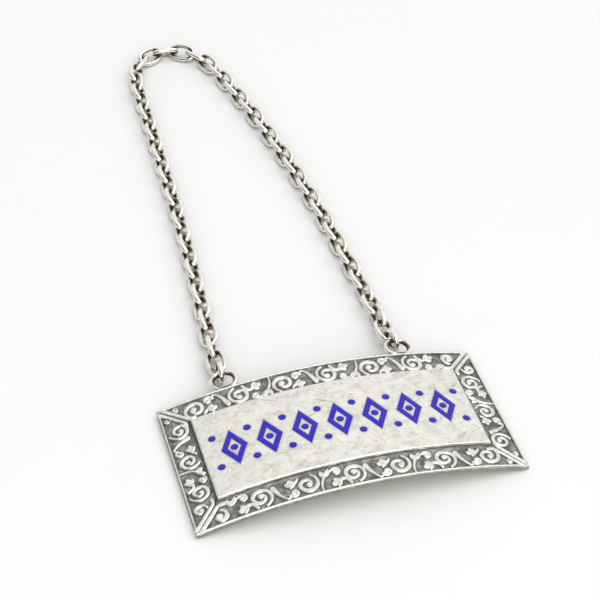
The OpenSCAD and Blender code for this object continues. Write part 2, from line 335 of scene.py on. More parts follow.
def enamel_places(s):
    """Middles of the lozenges, and of the roundels in and between them, in plan."""
    e = s.enamel
    step = (2 * panel_half(s)[0] - 2 * e.margin - e.roundel) / e.count
    lozenges = np.stack([(np.arange(e.count) - (e.count - 1) / 2) * step, np.zeros(e.count)], axis=-1)
    x = (np.arange(e.count + 1) - e.count / 2) * step
    y = np.full(e.count + 1, (e.height - e.roundel) / 2)
    roundels = np.concatenate([lozenges, np.stack([x, y], -1), np.stack([x, -y], -1)])
    return lozenges, roundels


def enamel_distance(x, y, s):
    """Distance in plan from the nearest enamel edge, negative inside the enamel."""
    e = s.enamel
    lozenges, roundels = enamel_places(s)
    a, b = e.width / 2, e.height / 2
    square = a * b / math.hypot(a, b)
    out = np.full(np.shape(x), 1.0)
    for cx, cy in lozenges:
        d = (np.abs(x - cx) / a + np.abs(y - cy) / b - 1) * square
        out = np.minimum(out, np.maximum(d, -d - e.band))
    for cx, cy in roundels:
        out = np.minimum(out, np.hypot(x - cx, y - cy) - e.roundel / 2)
    return out


def plate_surface(s):
    """The plate as one closed skin.

    Its face is a height over the arch at each point of a grid: the sheet's height outside the panel,
    a steep flank, a quarter round and then the flat panel, by the distance from the panel's nearest
    edge. Its back is the arch's cylinder, cut flat along the side edges, and its outer sides slope in
    to the back.
    """
    p = s.plate
    half_w, half_h = p.width / 2, p.height / 2
    in_w, in_h = panel_half(s)
    xs = edge_lines(half_w, in_w, p)
    ys = edge_lines(half_h, in_h, p)
    x, y = np.meshgrid(xs, ys, indexing="ij")
    inside = np.minimum(in_w - np.abs(x), in_h - np.abs(y))
    straight = p.panel_rise - p.edge_round
    bend = np.clip((inside - p.flank) / p.edge_round, 0, 1)
    rise = straight * np.clip(inside / p.flank, 0, 1) + p.edge_round * np.sqrt(1 - (1 - bend) ** 2)
    face = on_arch(x, y, p.sheet + rise, p)
    nx, ny = len(xs), len(ys)
    foot = np.clip(xs, p.bevel - half_w, half_w - p.bevel)
    under = on_arch(foot[:, None], np.array([p.bevel - half_h, half_h - p.bevel])[None, :], 0.0, p)
    under[..., 2] = np.maximum(under[..., 2], 0.0)
    points = np.concatenate([face.reshape(-1, 3), under.reshape(-1, 3)])
    base = nx * ny
    column = np.arange(nx)
    front, back = base + 2 * column, base + 2 * column + 1
    low, high = column * ny, column * ny + ny - 1
    faces = grid_faces(nx, ny).tolist()
    faces += np.stack([front[:-1], back[:-1], back[1:], front[1:]], -1).tolist()
    faces += np.stack([low[:-1], front[:-1], front[1:], low[1:]], -1).tolist()
    faces += np.stack([high[1:], back[1:], back[:-1], high[:-1]], -1).tolist()
    faces.append([*range(ny), back[0], front[0]])
    faces.append([*range(base - 1, base - ny - 1, -1), front[-1], back[-1]])
    worn = smooth(0, p.flank, inside) * (1 - smooth(p.flank, p.flank + 1.6 * p.edge_round, inside))
    near = 1 - smooth(0, ENAMEL_LINE, np.abs(enamel_distance(x, y, s)))
    # Oxide and painted shade: dark at the panel's foot, over the hidden sheet and at the tops of the plate's
    # outer sides.
    oxide_and_shade = 1 - smooth(0.3 * p.flank, p.flank, inside)
    rest = np.zeros(2 * nx)
    marks = {"edge": np.concatenate([worn.ravel(), rest]),
             "enamel_line": np.concatenate([near.ravel(), rest]),
             "oxide_and_shade": np.concatenate([oxide_and_shade.ravel(), rest]),
             "back": np.concatenate([np.zeros(base), rest + 1])}
    return points, faces, marks


# The border

# The scrolls are drawn in pattern units. PATTERN_STEP of them make one step along a strip, and
# PATTERN_ROOM of them the room across it from the panel to the rim. All scrolls lie PATTERN_DROP
# nearer to the panel than they are drawn. Strokes keep MITRE_ROOM away from a mitre, and EYE_ROOM away
# from the scroll in its corner.
PATTERN_STEP = 7.3
PATTERN_ROOM = 4.25
PATTERN_DROP = 0.1
MITRE_ROOM = 0.75
EYE_ROOM = 0.5
# Points on a spiral for each turn and each millimetre of radius, and points of a stroke taken at once.
SPIRAL_POINTS = 60
STROKE_CHUNK = 40
# A stroke has its full height from the first half width on, and its full groove from the second.
# GROOVE is the depth of that groove as a share of the height.
FULL_STROKE = 0.3 * MM
GROOVED_STROKE = 0.4 * MM
GROOVE = 0.3
# How far the painted shade on the ground beside the relief and the rim reaches, and the brightness at the
# foot of a strip's outside.
NOOK_SHADE = (0.02 * MM, 0.22 * MM)
OUTSIDE_SHINE = 0.15


def spiral(middle, outer, inner, start, turns, widths):
    """Points and half widths of a spiral that winds in from its outer to its inner radius.

    widths are the half widths at its start, at three tenths of its way and at its end.
    """
    t = np.linspace(0, 1, int(SPIRAL_POINTS * abs(turns) * outer / MM) + 12)
    r = outer + (inner - outer) * t ** 0.85
    a = math.radians(start) + 2 * math.pi * turns * t
    points = np.stack([middle[0] + r * np.cos(a), middle[1] + r * np.sin(a)], -1)
    return points, np.interp(t, [0, 0.3, 1], widths)


def bow(a, b, c, d, wide, thin):
    """Points and half widths of a cubic curve with end points a and d and handles b and c."""
    t = np.linspace(0, 1, 50)[:, None]
    a, b, c, d = (np.array(q) for q in (a, b, c, d))
    points = a * (1 - t) ** 3 + 3 * b * t * (1 - t) ** 2 + 3 * c * t * t * (1 - t) + d * t ** 3
    return points, wide + (thin - wide) * t[:, 0]


def petal(base, angle, size, width, bend):
    """Points and half widths of a leaf's lobe: a bent line, fullest before its middle, with a fine tip."""
    t = np.linspace(0.04, 1, 30)
    a = angle + bend * (t - 0.5)
    points = np.stack([base[0] + size * t * np.cos(a), base[1] + size * t * np.sin(a)], -1)
    return points, width * (0.15 + np.sin(math.pi * t ** 0.8) ** 0.8)


def leaf(base, angle, size, width):
    """A three-lobed leaf."""
    return [petal(base, math.radians(angle + turn), size * grow, width * grow, math.radians(turn) / 2)
            for turn, grow in ((-38, 0.8), (0, 1.0), (38, 0.8))]


def bud_spiral(middle, outer, start, turns, wide, bud):
    """A spiral that opens from a fine tip, winds in and ends in a round bud."""
    body = spiral(middle, outer, 0.28 * outer, start, turns, [0.6 * wide, wide, 0.6 * wide])
    tip = 0.6 * body[0][-1] + 0.4 * np.array(middle)
    return [body, (np.array([tip]), np.array([bud]))]


def main_scroll(at, k, back):
    """A main scroll, wound back or forward.

    In all pattern strokes, at turns pattern units along and across into strip points, and k is one
    pattern unit.
    """
    if back:
        return bud_spiral(at(0, 2.2), 1.85 * k, 72, -1.42, 0.4 * k, 0.48 * k)
    return bud_spiral(at(0, 2.2), 1.8 * k, -62, 1.28, 0.42 * k, 0.5 * k)


def after_back(at, k):
    """What lies between a scroll wound back and the next one: a stem, a small scroll and a leaf."""
    strokes = bud_spiral(at(5.0, 3.15), 0.84 * k, 165, -0.95, 0.32 * k, 0.4 * k)
    strokes += [
        bow(at(2.15, 1.2), at(2.5, 2.1), at(2.8, 3.2), at(3.8, 4.0), 0.48 * k, 0.2 * k),
        bow(at(3.7, 3.9), at(3.95, 4.1), at(4.2, 3.95), at(4.35, 3.45), 0.2 * k, 0.24 * k),
        bow(at(5.2, 1.35), at(5.5, 1.4), at(5.8, 1.2), at(6.1, 0.75), 0.36 * k, 0.24 * k),
    ]
    return strokes + leaf(at(5.4, 1.35), 178, 1.45 * k, 0.5 * k)


def after_forward(at, k):
    """What lies between a scroll wound forward and the next one: a flower, a small scroll and a leaf."""
    strokes = bud_spiral(at(4.75, 1.15), 0.8 * k, -155, 1.05, 0.32 * k, 0.4 * k)
    strokes += [
        bow(at(2.0, 4.2), at(1.95, 3.3), at(2.2, 2.4), at(2.85, 1.5), 0.18 * k, 0.3 * k),
        petal(at(2.8, 1.6), math.radians(-118), 1.2 * k, 0.42 * k, 0.3),
        petal(at(2.8, 1.6), math.radians(-48), 1.6 * k, 0.42 * k, -0.3),
        bow(at(4.9, 3.1), at(5.4, 2.45), at(6.1, 2.85), at(6.45, 3.85), 0.34 * k, 0.32 * k),
    ]
    return strokes + leaf(at(5.05, 3.1), 165, 1.55 * k, 0.5 * k)


def mitre_strokes(half_in, half_out, band, k, roomy):
    """The rib along a mitre with its hooked inner end, and the scroll in the corner beside it.

    Also gives that scroll's middle and size, which are larger where the corner is roomy.
    """
    along = np.array([half_out - half_in, band])
    along = along / np.hypot(*along)
    beside = 0.43 * k * np.array([-along[1], along[0]])
    foot = np.array([half_in, 0.0]) + 0.7 * k * along + beside
    tip = np.array([half_out, band]) - 0.7 * k * along + beside
    rib = bow(foot, foot + 0.3 * (tip - foot), foot + 0.7 * (tip - foot), tip, 0.34 * k, 0.4 * k)
    hook = bow(foot - [1.1 * k, 0.1 * k], foot - [0.7 * k, 0.2 * k], foot - 0.3 * k * along,
               foot + 0.2 * k * along, 0.36 * k, 0.34 * k)
    size = 1.2 * k if roomy else 0.55 * k
    level = 2.9 * k if roomy else 3.5 * k
    slope = along[0] / along[1]
    eye = np.array([half_in + slope * level - (size + 0.62 * k) * math.hypot(slope, 1.0), level])
    return [rib, hook] + bud_spiral(eye, size, -100, -0.95, 0.36 * size, 0.42 * size), eye, size


def strip_strokes(b, edge):
    """Strokes of a whole strip, along its length and across from the panel to the rim.

    Pattern strokes that would meet a mitre or the scroll in its corner are left out.
    """
    band, half_in, half_out, count, step, shift = edge
    k = (band - b.rim_width) / PATTERN_ROOM
    slope = (half_out - half_in) / band
    first = shift - (count - 1) / 2 * step
    strokes = []
    for i in range(-1, count):
        def at(q, t, start=first + i * step):
            return start + q * step / PATTERN_STEP, (t - PATTERN_DROP) * k
        back = i % 2 == 0
        if i >= 0:
            strokes += main_scroll(at, k, back)
        if i < count - 1:
            strokes += after_back(at, k) if back else after_forward(at, k)
    for end in (-1, 1):
        corner, eye, size = mitre_strokes(half_in, half_out, band, k, shift * end < 0)
        kept = []
        for points, widths in strokes:
            clear = (half_in + slope * points[:, 1] - end * points[:, 0]).min()
            apart = np.hypot(end * points[:, 0] - eye[0], points[:, 1] - eye[1]).min()
            if clear > MITRE_ROOM * k and apart > size + EYE_ROOM * k:
                kept.append((points, widths))
        strokes = kept + [(points * [end, 1], widths) for points, widths in corner]
    return strokes


def stroke_relief(q, t, strokes):
    """Height share of the strokes at strip points, and the distance from the nearest stroke.

    A stroke is nearly half round across, lower where it is fine, and grooved along its middle where
    it is broad. Where strokes cross, the highest counts.
    """
    out = np.zeros(q.shape)
    far = np.full(q.shape, 1.0)
    for points, widths in strokes:
        reach = widths.max() + 0.5 * MM
        low, high = points.min(0) - reach, points.max(0) + reach
        pick = (q > low[0]) & (q < high[0]) & (t > low[1]) & (t < high[1])
        pq, pt = q[pick], t[pick]
        best = np.zeros(len(pq))
        near = np.full(len(pq), 1.0)
        chunks = len(points) // STROKE_CHUNK + 1
        for part, width in zip(np.array_split(points, chunks), np.array_split(widths, chunks)):
            d = np.hypot(pq[:, None] - part[:, 0], pt[:, None] - part[:, 1])
            dome = np.clip(1 - (d / width) ** 2, 0, 1) ** 0.4
            dome *= np.minimum(width / FULL_STROKE, 1.0) ** 0.6
            dome -= GROOVE * smooth(FULL_STROKE, GROOVED_STROKE, width) * np.exp(-(d / (0.24 * width)) ** 2)
            best = np.maximum(best, dome.max(1))
            near = np.minimum(near, (d - width).min(1))
        out[pick] = np.maximum(out[pick], best)
        far[pick] = np.minimum(far[pick], near)
    return out, far


def strip_surface(s, edge, rub_and_light, place):
    """A border strip as one closed skin.

    Across the strip, the section runs from the sheet up the solder fillet at the panel's foot, over
    the ground with its relief and over the rim, and down to the sheet again. Along it, the section is
    drawn out to the mitres. The third argument gives the rim's brightness, partly how rubbed it is and
    partly painted light, and place turns points along and across the strip into points in plan.
    """
    p, b = s.plate, s.border
    band, half_in, half_out = edge[:3]
    rows = int(band / b.cell)
    columns = int(2 * half_out / b.cell)
    across = np.linspace(0, band, rows + 1)
    along = np.linspace(-1, 1, columns + 1)
    t = np.broadcast_to(across[None, :], (columns + 1, rows + 1))
    q = along[:, None] * (half_in + (half_out - half_in) * across[None, :] / band)
    relief, far = stroke_relief(q, t, strip_strokes(b, edge))
    middle = band - b.rim_width / 2
    inner = np.clip((middle - t) / (b.rim_width / 2), 0, 1)
    outer = np.clip((t - middle) / (b.rim_width / 2), 0, 1)
    bead = np.sqrt(1 - inner ** 4) * (1 - 0.6 * outer ** 3)
    rise = np.maximum(b.relief * relief, b.rim_rise * bead)
    fillet = b.relief * np.clip(1 - t / b.fillet, 0, 1) ** 2
    x, y = place(q, t)
    top = on_arch(x, y, p.sheet + b.ground + np.maximum(rise, fillet), p)
    low = on_arch(x[:, [0, -1]], y[:, [0, -1]], p.sheet, p)
    ring = np.concatenate([low[:, :1], top, low[:, 1:]], axis=1)
    nu, nv = ring.shape[:2]
    faces = grid_faces(nu, nv, wrap_v=True)[:, ::-1].tolist()
    faces.append(list(range(nv))[::-1])
    faces.append(list(range((nu - 1) * nv, nu * nv)))
    pad = np.zeros((nu, 1))
    # Rubbing and painted light: the rim's brightness is set per strip, fullest on the bottom one.
    shine = np.maximum(b.relief / b.rim_rise * relief, rub_and_light * bead)
    # Painted shade: this mark darkens the ground beside each stroke and against the rim.
    nook_shade = 1 - smooth(*NOOK_SHADE, np.minimum(far, middle - t))
    marks = {"relief": np.concatenate([pad, shine, pad + OUTSIDE_SHINE], axis=1),
             "nook_shade": np.concatenate([pad, nook_shade, pad], axis=1)}
    return ring.reshape(-1, 3), faces, marks


# The enamel

# Points along each side of a lozenge and across its band, points round a roundel, and the radii of a
# roundel's rings as shares, from its floor to its middle.
SIDE_POINTS = 14
BAND_POINTS = 9
ROUND_POINTS = 40
ROUND_RINGS = (0.02, 1.0, 1.0, 0.85, 0.6, 0.3, 0.02)


def enamel_levels(s):
    """Heights of the enamel's floor and of its edge over the back."""
    panel = s.plate.sheet + s.plate.panel_rise
    return panel - s.enamel.depth, panel + s.enamel.proud


def lozenge_surface(cx, cy, s):
    """A lozenge band of enamel as one closed skin.

    Round the lozenge, points lie on its outline. Across the band, the outline shrinks evenly from
    the outer to the inner edge while the height follows a low dome, and the skin closes underneath.
    """
    e = s.enamel
    a, b = e.width / 2, e.height / 2
    corners = np.array([[a, 0], [0, b], [-a, 0], [0, -b], [a, 0]])
    t = np.arange(0, 4, 1 / SIDE_POINTS)
    k = t.astype(int)
    outline = corners[k] + (t - k)[:, None] * (corners[k + 1] - corners[k])
    across = np.linspace(-1, 1, BAND_POINTS)
    shrink = 1 - e.band * (across + 1) / 2 * math.hypot(a, b) / (a * b)
    shrink = np.concatenate([shrink[:1], shrink, shrink[-1:]])
    floor, edge = enamel_levels(s)
    height = np.concatenate([[floor], edge + e.dome * (1 - across ** 2), [floor]])
    x = cx + outline[:, :1] * shrink
    y = cy + outline[:, 1:] * shrink
    points = on_arch(x, y, height[None, :], s.plate)
    rim = np.broadcast_to(np.abs(np.concatenate([[-1.0], across, [1.0]])), x.shape)
    return points.reshape(-1, 3), grid_faces(len(t), len(height), True, True), {"rim": rim}


def roundel_surface(cx, cy, s):
    """A roundel of enamel: rings of points that rise to a low dome, with a side and a floor."""
    e = s.enamel
    turn = np.linspace(0, 2 * math.pi, ROUND_POINTS, endpoint=False)[:, None]
    ring = np.array(ROUND_RINGS)
    floor, edge = enamel_levels(s)
    height = np.concatenate([[floor, floor], edge + e.dome * (1 - ring[2:] ** 2)])
    x = cx + e.roundel / 2 * ring * np.cos(turn)
    y = cy + e.roundel / 2 * ring * np.sin(turn)
    points = on_arch(x, y, height[None, :], s.plate)
    n, m = len(turn), len(ring)
    faces = grid_faces(n, m, wrap_u=True).tolist()
    faces.append([i * m for i in range(n)][::-1])
    faces.append([i * m + m - 1 for i in range(n)])
    return points.reshape(-1, 3), faces, {"rim": np.broadcast_to(ring, x.shape)}


# The chain

# Points along a wire oval and round its section, the share by which the section swells and thins, and
# how much further round each link's solder seam lies than the one before it.
OVAL_POINTS = 64
SECTION_POINTS = 18
WIRE_WAVE = 0.012
SEAM_STEP = 0.618
# The chain's route from the left ring to the right one, as shares of its half width and its reach.
# The curve has ROUTE_STEPS steps from each of these points to the next.
ROUTE_X = (-1, -0.97, -0.88, -0.8, -0.75, -0.7, -0.67, -0.63, -0.54, -0.37, -0.14,
           0.1, 0.28, 0.4, 0.48, 0.55, 0.71, 0.84, 0.93, 0.98, 1, 1)
ROUTE_Y = (0, 0.08, 0.23, 0.4, 0.56, 0.74, 0.86, 0.91, 0.945, 0.97, 0.98,
           0.97, 0.945, 0.91, 0.87, 0.82, 0.69, 0.54, 0.38, 0.22, 0.1, 0)
ROUTE_STEPS = 12


def oval_line(inner, width, wire):
    """Middle line of a wire oval with its length along X, and the outward direction at each point.

    With c and s for the cosine and sine of an angle, the line is rc * c + half * (3 c - c ** 3) / 2
    along and rc * s across: half-round ends of radius rc, a distance half from the middle, that run
    into gently bowed sides. The outward direction is square to it.
    """
    rc = (width - wire) / 2
    half = (inner + wire) / 2 - rc
    angle = np.arange(OVAL_POINTS) / OVAL_POINTS * 2 * math.pi - math.pi / 2
    c, s = np.cos(angle), np.sin(angle)
    out = np.stack([rc * c, s * (rc + 1.5 * half * s * s)], -1)
    out = out / np.linalg.norm(out, axis=-1, keepdims=True)
    return np.stack([rc * c + half * (3 * c - c ** 3) / 2, rc * s], -1), out


def lay_frames(start, end, roll):
    """Axes of ovals laid from start to end and leaned by roll about that line."""
    run = end - start
    along = run / np.linalg.norm(run, axis=-1, keepdims=True)
    flat = np.stack([-along[..., 1], along[..., 0], np.zeros_like(along[..., 0])], -1)
    flat = flat / np.linalg.norm(flat, axis=-1, keepdims=True)
    up = np.cross(along, flat)
    c, n = np.cos(roll)[..., None], np.sin(roll)[..., None]
    return along, flat * c + up * n, up * c - flat * n


def oval_surfaces(start, end, roll, inner, width, wire, seam,
                  full=0.97, swell=0.05, spread=0.022, dirt=0.0):
    """Wire ovals as closed skins: a round section carried along each oval's middle line.

    The section has the share full of the wire's thickness, and swells and thins a little, as drawn
    wire does when it is bent and filed. Each oval has a solder seam at the share seam of its length,
    where the wire is thicker by the share swell over the share spread. Tarnish and painted shade
    darken the inside of the oval and its ends, painted shade darkens its underside, tarnish gathers
    round a large seam, and dirt is added to this darkening everywhere.
    """
    line, out = oval_line(inner, width, wire)
    u = np.arange(OVAL_POINTS) / OVAL_POINTS
    v = np.arange(SECTION_POINTS) / SECTION_POINTS * 2 * math.pi
    along, side, normal = (axis[:, None, None, :] for axis in lay_frames(start, end, roll))
    gap = np.abs((u[None, :] - seam[:, None] + 0.5) % 1.0 - 0.5)
    r = wire / 2 * (full + swell * np.exp(-(gap / spread) ** 2)
                    + WIRE_WAVE * np.sin(2 * math.pi * (2 * u[None, :] + 3.7 * seam[:, None])))
    bulge = r[:, :, None, None] * np.cos(v)[None, None, :, None]
    reach = line[None, :, None, :] + bulge * out[None, :, None, :]
    thick = r[:, :, None] * np.sin(v)[None, None, :]
    points = (((start + end) / 2)[:, None, None, :] + reach[..., :1] * along
              + reach[..., 1:] * side + thick[..., None] * normal)
    # Tarnish and painted shade: darker on the inside of the oval and at its ends, where links meet.
    ends = smooth(0.35, 0.95, np.abs(line[:, 0]) / np.abs(line[:, 0]).max())
    inside = 0.5 - 0.5 * np.cos(v)
    grime_and_shade = inside[None, None, :] * (0.5 + 0.5 * ends[None, :, None])
    # Painted shade: darker on the wire's underside.
    rise = out[None, :, None, 0] * along[..., 2] + out[None, :, None, 1] * side[..., 2]
    under = -(rise * np.cos(v) + normal[..., 2] * np.sin(v))
    grime_and_shade = np.maximum(grime_and_shade, 0.8 * smooth(0.15, 0.85, under))
    seat = 0.8 * np.exp(-(gap / spread / 2) ** 2)[:, :, None] if swell > 0.1 else 0.0
    grime_and_shade = np.maximum(grime_and_shade, seat) + dirt
    faces = grid_faces(OVAL_POINTS, SECTION_POINTS, True, True)
    return [(p.reshape(-1, 3), faces, {"grime_and_shade": g}) for p, g in zip(points, grime_and_shade)]


def loop_height(s):
    """Height of the loops' middle over the plate's back."""
    return (s.plate.sheet + s.border.ground + s.border.rim_rise) / 2


def chain_path(start, reach):
    """Points of a smooth curve through the route's points, and the curve's length up to each of them."""
    k = np.stack([np.array(ROUTE_X) * start[0], start[1] + np.array(ROUTE_Y) * reach], -1)
    first, last = [k[1, 0], 2 * k[0, 1] - k[1, 1]], [k[-2, 0], 2 * k[-1, 1] - k[-2, 1]]
    k = np.concatenate([[first], k, [last]])
    t = (np.arange(ROUTE_STEPS) / ROUTE_STEPS)[None, :, None]
    k0, k1, k2, k3 = (k[j:len(k) - 3 + j, None] for j in range(4))
    square = 2 * k0 - 5 * k1 + 4 * k2 - k3
    cube = 3 * (k1 - k2) + k3 - k0
    curve = k1 + t * ((k2 - k0) + t * (square + t * cube)) / 2
    points = np.concatenate([curve.reshape(-1, 2), k[-2:-1]])
    return points, np.concatenate([[0], np.cumsum(np.hypot(*np.diff(points, axis=0).T))])


def chain_layout(s):
    """Loop middles, ring ends, hinge points and leans of the chain, as the model lays it out.

    The route's reach is found by halving, so that the curve is as long as the links, and the hinges
    lie at even steps on it.
    """
    c, p = s.chain, s.plate
    links = 3 * c.runs
    pitch = c.inner - c.gap
    i = np.arange(links + 1)
    fade = np.maximum(0, 1 - np.minimum(i, links - i) / c.twist_links)
    heights = (c.width - c.wire) / 2 * np.sin(c.lean + c.end_twist * fade) + c.wire / 2 + c.lift
    n = i[1:]
    soft = np.maximum(0, 1 - np.minimum(n - 0.5, links - n + 0.5) / c.twist_links)
    roll = np.where(n % 2 == 0, c.lean, -c.lean) + c.end_twist * soft

    loop_r = (c.loop_width - c.loop_wire) / 2
    radius, drop = arch_axis(p)
    loop_z = math.sqrt((radius + loop_height(s)) ** 2 - c.loop_x ** 2) - drop
    near = (c.loop_wire + c.ring_wire) / 2 + c.ring_gap
    far = c.ring_inner + c.ring_wire - near
    bite = far - (c.ring_wire + c.wire) / 2 - c.tip_gap
    fall = math.asin((loop_z - heights[0]) / bite)
    side = np.array([-1.0, 1.0])
    loops = np.stack([side * c.loop_x, np.full(2, p.height / 2 + loop_r), np.full(2, loop_z)], -1)
    swing = np.stack([side * c.loop_x, np.full(2, p.height / 2 + 2 * loop_r), np.full(2, loop_z)], -1)
    aim = np.stack([-side * math.cos(fall) * math.sin(c.ring_turn),
                    np.full(2, math.cos(fall) * math.cos(c.ring_turn)), np.full(2, -math.sin(fall))], -1)
    start = swing[1] + bite * aim[1] + [0, (c.wire + c.gap) / 2, 0]

    low, high = 0.0, links * pitch
    for _ in range(24):
        mid = (low + high) / 2
        if chain_path(start, mid)[1][-1] < links * pitch:
            low = mid
        else:
            high = mid
    points, miles = chain_path(start, (low + high) / 2)
    hinges = np.stack([np.interp(i * pitch, miles, points[:, 0]),
                       np.interp(i * pitch, miles, points[:, 1]), heights], -1)
    return {"loops": loops, "ring_near": swing - near * aim, "ring_tip": swing + far * aim,
            "hinges": hinges, "roll": roll}


# Materials


class Nodes:
    """A short way to add nodes to a tree and join them."""

    def __init__(self, tree):
        self.tree = tree
        self.tree.nodes.clear()

    def add(self, kind, settings=None, **inputs):
        """A node with settings, and inputs that are values or other nodes' outputs.

        An input goes by its name with _ for each space, or by _ and its number.
        """
        node = self.tree.nodes.new(kind)
        for key, value in (settings or {}).items():
            setattr(node, key, value)
        for key, value in inputs.items():
            self.feed(node.inputs[int(key[1:]) if key[0] == "_" else key.replace("_", " ")], value)
        return node

    def feed(self, socket, value):
        """Joins an output to a socket, or sets the socket's value."""
        if isinstance(value, bpy.types.NodeSocket):
            self.tree.links.new(value, socket)
        elif socket.type == "RGBA":
            socket.default_value = (*value, 1.0)
        else:
            socket.default_value = value

    def math(self, operation, a, b):
        """A Math node's output."""
        return self.add("ShaderNodeMath", {"operation": operation}, _0=a, _1=b).outputs[0]

    def total(self, *parts):
        """The sum of parts, each of them a value and its weight."""
        out = 0.0
        for value, weight in parts:
            out = self.math("ADD", out, self.math("MULTIPLY", value, weight))
        return out

    def mix(self, factor, a, b):
        """A colour between a and b."""
        return self.add("ShaderNodeMix", {"data_type": "RGBA"}, _0=factor, _6=a, _7=b).outputs[2]

    def films(self, base, *films):
        """A base colour under films, each of them a mask, a strength and a colour."""
        for mask, strength, tint in films:
            base = self.mix(self.math("MULTIPLY", mask, strength), base, tint)
        return base

    def span(self, value, low, high, to_low=0.0, to_high=1.0):
        """A value carried smoothly from one range to another."""
        return self.add("ShaderNodeMapRange", {"interpolation_type": "SMOOTHSTEP"}, _0=value, _1=low,
                        _2=high, _3=to_low, _4=to_high).outputs[0]

    def scaled(self, where, factor):
        """Coordinates times a factor."""
        return self.add("ShaderNodeVectorMath", {"operation": "SCALE"}, _0=where, Scale=factor).outputs[0]

    def millimetres(self):
        """The piece's own coordinates, in millimetres."""
        return self.scaled(self.add("ShaderNodeTexCoord").outputs["Object"], 1 / MM)

    def noise(self, where, scale, detail=4.0, rough=0.55, turn=0.0):
        """Noise from 0 to 1 at a place.

        It has one scale, or a scale along each axis after a turn about Z.
        """
        if isinstance(scale, tuple):
            where = self.add("ShaderNodeMapping", {"vector_type": "TEXTURE"}, Vector=where,
                             Rotation=(0.0, 0.0, turn), Scale=tuple(1 / v for v in scale)).outputs[0]
            scale = 1.0
        return self.add("ShaderNodeTexNoise", Vector=where, Scale=scale, Detail=detail,
                        Roughness=rough).outputs[0]

    def mark(self, name):
        """A named value of the piece's points."""
        return self.add("ShaderNodeAttribute", {"attribute_name": name}).outputs["Fac"]

    def bump(self, strength, depth, height):
        """Normals for a height whose value of 1 stands for depth, in metres."""
        return self.add("ShaderNodeBump", Strength=strength, Distance=depth, Height=height).outputs[0]


def wear_group():
    """A node group of handling marks on silver: cloudy wear, fine scratches and sparse dark specks."""
    name = "Handled silver"
    if name in bpy.data.node_groups:
        return bpy.data.node_groups[name]
    tree = bpy.data.node_groups.new(name, "ShaderNodeTree")
    for label, kind in (("Vector", "NodeSocketVector"), ("Scale", "NodeSocketFloat")):
        tree.interface.new_socket(label, in_out="INPUT", socket_type=kind)
    for label in ("Clouds", "Scratches", "Specks"):
        tree.interface.new_socket(label, in_out="OUTPUT", socket_type="NodeSocketFloat")
    n = Nodes(tree)
    given = tree.nodes.new("NodeGroupInput").outputs
    put = tree.nodes.new("NodeGroupOutput").inputs
    where = n.scaled(given["Vector"], given["Scale"])
    n.feed(put["Clouds"], n.span(n.noise(where, 0.9, 7.0, 0.62), 0.33, 0.68))
    scratches = 0.0
    for turn, long in ((0.12, 0.55), (-0.35, 0.4), (1.05, 0.5), (2.2, 0.45)):
        line = n.span(n.noise(where, (long, 14.0, 14.0), 2.0, 0.4, turn), 0.6, 0.72)
        scratches = n.math("MAXIMUM", scratches, line)
    n.feed(put["Scratches"], scratches)
    n.feed(put["Specks"], n.span(n.noise(where, 2.4, 5.0, 0.7), 0.63, 0.75))
    return tree


def place_wear(n, where, scale):
    """The handling marks placed in a material."""
    return n.add("ShaderNodeGroup", {"node_tree": wear_group()}, Vector=where, Scale=scale).outputs


def new_material(name):
    """An empty node material, its nodes, and the coordinates on its pieces in millimetres."""
    material = bpy.data.materials.new(name)
    material.use_nodes = True
    n = Nodes(material.node_tree)
    return material, n, n.millimetres()


def finished(material, n, **inputs):
    """The material with a Principled shader of these inputs."""
    shader = n.add("ShaderNodeBsdfPrincipled", **inputs)
    n.add("ShaderNodeOutputMaterial", Surface=shader.outputs[0])
    return material


def satin_silver(f):
    """Satin silver of the plate.

    It is brushed along its width, worn in clouds and mottled, with grey blotches, scratches, a few
    gouges and soft dents. Its edges are rubbed bright, its foot and the tops of its outer sides are dark
    with oxide and painted shade, and its back has an olive film.
    """
    material, n, where = new_material("Satin silver")
    wear = place_wear(n, where, 0.55)
    brush = n.noise(where, (0.5, 4.0, 1.0), 5.0, 0.65)
    mottle = n.noise(where, (0.5, 0.62, 1.0), 7.0, 0.7)
    pits = n.noise(where, 1.9, 6.0, 0.7)
    dents = n.noise(where, 0.7, 3.0, 0.5)
    gouges = [n.span(n.noise(where, (0.13, 3.4, 1.0), 2.0, 0.4, turn), 0.685, 0.75)
              for turn in (0.5, -0.42)]
    gouge = n.math("MAXIMUM", *gouges)
    dull = n.math("MULTIPLY", wear["Clouds"], n.span(brush, 0.3, 0.7, 0.5, 1.0))
    blotch = n.math("MULTIPLY", n.span(n.noise(where, (1.5, 1.9, 1.0), 6.0, 0.74), 0.53, 0.68),
                    n.span(n.noise(where, 0.16, 3.0), 0.38, 0.6))
    edge = n.mark("edge")
    base = n.films(f.silver,
                   (dull, 0.3, f.worn),
                   (n.span(mottle, 0.46, 0.64), 0.5, f.worn),
                   (blotch, 0.65, f.stain),
                   (wear["Scratches"], 0.18, f.stain),
                   (gouge, 0.65, f.stain),
                   (wear["Specks"], 0.3, f.tarnish),
                   (n.mark("enamel_line"), 0.3, f.tarnish),
                   # Oxide and painted shade at the panel's foot and on the plate's outer sides.
                   (n.mark("oxide_and_shade"), 0.85, f.oxide),
                   (n.mark("back"), 0.85, f.back),
                   (edge, 0.2, f.bright))
    rough = n.total((n.span(brush, 0.2, 0.8, 0.38, 0.46), 1.0), (edge, -0.12))
    cut = n.math("MAXIMUM", wear["Scratches"], gouge)
    height = n.total((brush, 0.3), (pits, 0.8), (dents, 2.0), (cut, -0.4))
    return finished(material, n, Base_Color=base, Metallic=1.0, Roughness=rough,
                    Normal=n.bump(0.45, 0.06 * MM, height))


